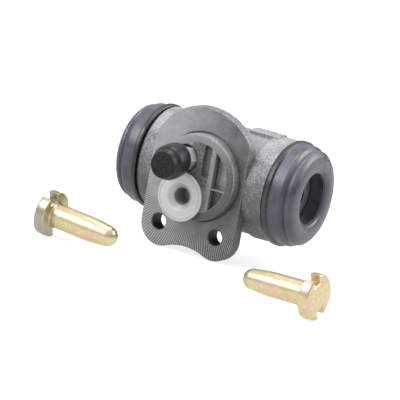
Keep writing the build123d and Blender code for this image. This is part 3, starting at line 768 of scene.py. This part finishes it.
def push_pin(name, head_x, head_y, direction, tilt):
    """A closed grid of rows along the pin: the head's face, its rounded rim, its back, the shank,
    a taper r = R - d s^2 and a round tip (x + e sin a, e cos a). The notches are turned about the
    pin, and the head rests on the ground."""
    s = np.linspace(0.0, 1.0, TAPER_POINTS)
    a = np.linspace(0.0, math.pi / 2, TIP_POINTS)[1:]
    taper = list(zip(TAPER_START + (TAPER_END - TAPER_START) * s, SHANK_RADIUS - TAPER_DROP * s**2))
    tip = list(zip(TAPER_END + TIP_RADIUS * np.sin(a), TIP_RADIUS * np.cos(a)))
    halves = [(x, plain_circle(r)) for x, r in HEAD_FACE]
    halves += [(x, notched_circle(inset)) for x, inset in HEAD_RIM]
    halves += [(x, plain_circle(r)) for x, r in SHANK + taper + tip]
    rows = np.stack([np.concatenate([half[:-1], -half[:-1]]) for x, half in halves])
    length = np.array([x for x, half in halves])[:, None, None]
    slope, turn = math.radians(tilt), math.radians(NOTCH_TURN) * direction
    along = np.array([direction * math.cos(slope), 0.0, -math.sin(slope)])
    upright = np.array([direction * math.sin(slope), 0.0, math.cos(slope)])
    aside = np.cross(along, upright)
    first = math.cos(turn) * upright + math.sin(turn) * aside
    second = math.cos(turn) * aside - math.sin(turn) * upright
    head = np.array([head_x, head_y, PIN_FLOOR + HEAD_RADIUS * math.cos(slope)])
    return grid_mesh(name, head + length * along + rows[:, :, :1] * first + rows[:, :, 1:] * second,
                     wrap_rows=False)


pin_finish = yellow_zinc()
for side, head_x, head_y, direction, tilt in PIN_PLACES:
    pin = push_pin("pin_" + side, head_x, head_y, direction, tilt)
    dress(pin, pin_finish)
    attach(pin, "housing")
    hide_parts("push_pin_" + side)


# Ground, light and camera
# A white table under soft light that is strongest from above, a little towards the camera, which
# stands where the photograph was taken from. Places are in metres here.

GROUND_Z = -0.03042
TABLE_EDGE = 3.0
TABLE_GREY = (0.3, 0.3, 0.3, 1.0)
TABLE_GLOW = 0.8
BACK = Vector((0.4822, -0.8525, 0.2019))
RIGHT = Vector((0.8704, 0.4923, 0.0))
UP = Vector((-0.0994, 0.1758, 0.9794))
ROLL = math.radians(9.876)
SKY_LOW, SKY_RISE = 0.05, 0.95
SKY_SPAN = (-0.45, 0.85)
SKY_TOP = (0.3 * BACK + UP - 0.2 * RIGHT).normalized()
WHITE = (1.0, 1.0, 1.0, 1.0)
CAMERA_DISTANCE = 1.908
CAMERA_SHIFT = (0.00048, 0.00872)
CAMERA_LENS, CAMERA_SENSOR, CAMERA_REACH = 460.98, 36.0, 20.0

corners = np.array([[-1, -1], [1, -1], [1, 1], [-1, 1]]) * TABLE_EDGE
table_mesh = bpy.data.meshes.new("table")
table_mesh.from_pydata([(cx, cy, GROUND_Z) for cx, cy in corners.tolist()], [], [(0, 1, 2, 3)])
table = bpy.data.objects.new("table", table_mesh)
bpy.context.scene.collection.objects.link(table)

white_table = new_material("white_table")
tree = white_table.node_tree
path = add(tree, "ShaderNodeLightPath").outputs
seen = either(tree, path["Is Camera Ray"], path["Is Glossy Ray"], path["Is Transmission Ray"])
matt = add(tree, "ShaderNodeBsdfDiffuse", {"Color": TABLE_GREY})
glow = add(tree, "ShaderNodeEmission", {"Strength": calc(tree, "MULTIPLY", seen, TABLE_GLOW)})
lit = add(tree, "ShaderNodeAddShader", {0: matt.outputs[0], 1: glow.outputs[0]})
tree.links.new(lit.outputs[0], tree.nodes["Material Output"].inputs[0])
dress(table, white_table)

world = bpy.data.worlds.new("studio")
bpy.context.scene.world = world
world.use_nodes = True
tree = world.node_tree
tree.nodes.clear()
direction = add(tree, "ShaderNodeTexCoord").outputs["Generated"]
facing = add(tree, "ShaderNodeVectorMath", {0: direction, 1: SKY_TOP}, operation="DOT_PRODUCT")
level = weighted(tree, (ramp(tree, facing.outputs["Value"], *SKY_SPAN), SKY_RISE), start=SKY_LOW)
sky = add(tree, "ShaderNodeBackground", {"Color": WHITE, "Strength": level})
sky_output = add(tree, "ShaderNodeOutputWorld")
tree.links.new(sky.outputs[0], sky_output.inputs[0])


def softbox(name, place, size, power):
    """A square soft light aimed at the part."""
    lamp = bpy.data.lights.new(name, "AREA")
    lamp.shape = "SQUARE"
    lamp.size = size
    lamp.energy = power
    box = bpy.data.objects.new(name, lamp)
    box.location = place
    box.rotation_euler = (-Vector(place)).to_track_quat("-Z", "Y").to_euler()
    bpy.context.scene.collection.objects.link(box)


softbox("key", BACK * 0.45 + UP * 0.5 - RIGHT * 0.6, 0.4, 4.0)
softbox("top", UP * 0.9 + BACK * 0.05, 0.35, 3.0)
softbox("rim", RIGHT * 0.75 - BACK * 0.1 + UP * 0.45, 0.5, 5.0)

across = RIGHT * math.cos(ROLL) + UP * math.sin(ROLL)
upward = UP * math.cos(ROLL) - RIGHT * math.sin(ROLL)
place = BACK * CAMERA_DISTANCE - across * CAMERA_SHIFT[0] - upward * CAMERA_SHIFT[1]
camera_data = bpy.data.cameras.new("camera")
camera_data.lens = CAMERA_LENS
camera_data.sensor_width = CAMERA_SENSOR
camera_data.clip_end = CAMERA_REACH
camera = bpy.data.objects.new("camera", camera_data)
camera.matrix_world = Matrix((
    (across.x, upward.x, BACK.x, place.x),
    (across.y, upward.y, BACK.y, place.y),
    (across.z, upward.z, BACK.z, place.z),
    (0.0, 0.0, 0.0, 1.0),
))
bpy.context.scene.collection.objects.link(camera)
bpy.context.scene.camera = camera
bpy.context.scene.view_settings.view_transform = "Standard"
